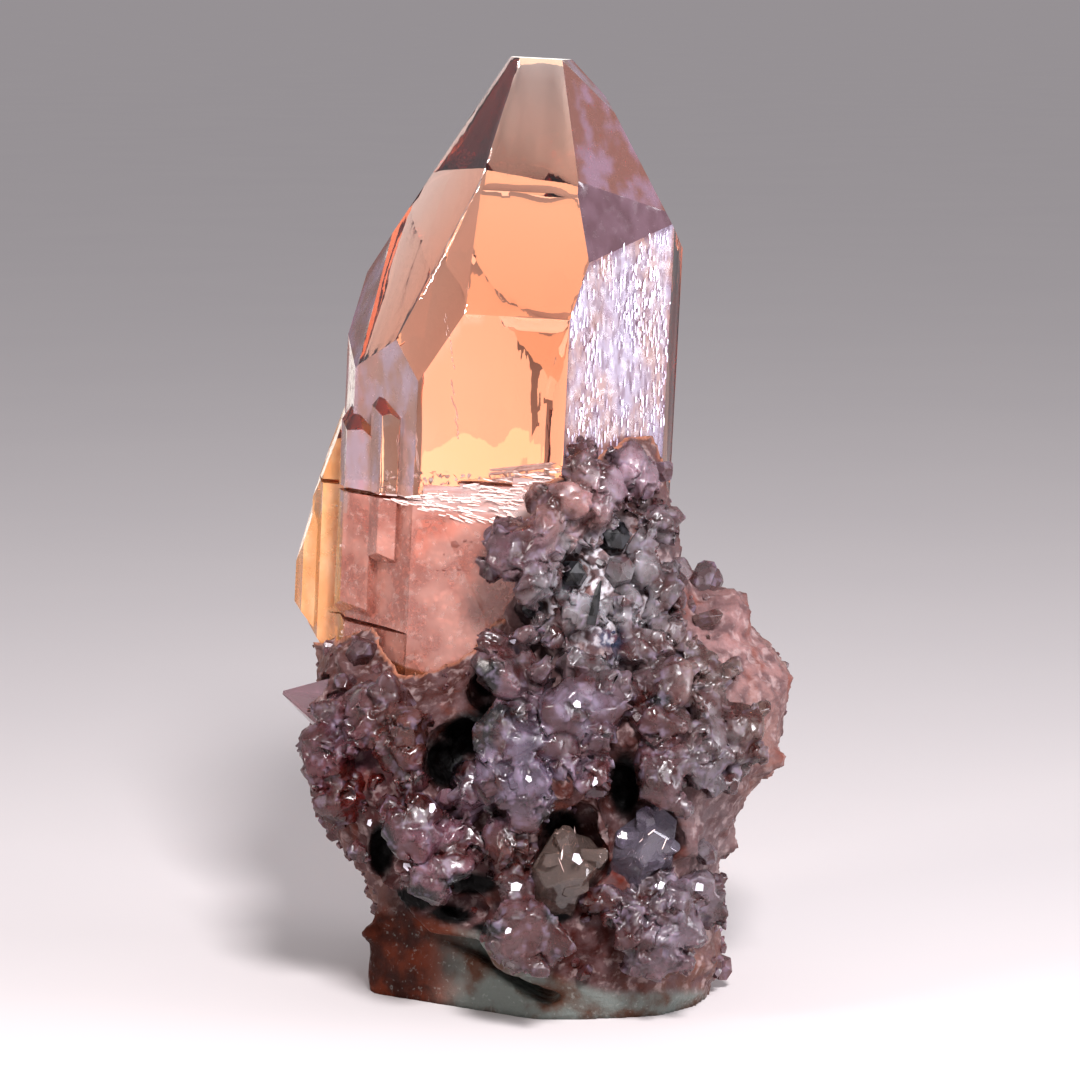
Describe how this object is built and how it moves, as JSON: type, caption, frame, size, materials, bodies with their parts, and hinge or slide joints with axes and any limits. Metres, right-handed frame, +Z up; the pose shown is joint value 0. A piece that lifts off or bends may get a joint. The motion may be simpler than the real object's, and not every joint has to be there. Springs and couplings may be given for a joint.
{
  "type": "topaz crystal on matrix",
  "caption": "Upright pointed topaz crystal, peach and clear, rooted in a lump of rock crusted with small quartz crystals, on a flat base.",
  "frame": {"origin": "on the resting face, below the middle of the specimen's box", "axes": "+Z up along the crystal, -Y towards the viewer of the pictured front, +X to the viewer's right"},
  "size_m": [0.0318, 0.0268, 0.0578],
  "materials": {
    "topaz": "clear peach crystal, frosted on one face",
    "matrix": "rough pink-grey rock with a crust of lilac quartz, rust and white powder",
    "clear_quartz": "clear, faintly lilac",
    "black_crystal": "glossy black"
  },
  "bodies": {
    "root": {"topaz_crystal": "topaz", "matrix_rock": "matrix", "side_crystal": "clear_quartz", "clear_crystal_low": "clear_quartz", "clear_crystal_right": "clear_quartz", "black_crystal_high": "black_crystal", "black_crystal_middle": "black_crystal", "black_crystal_left": "black_crystal", "black_crystal_low": "black_crystal"}
  },
  "joints": []
}
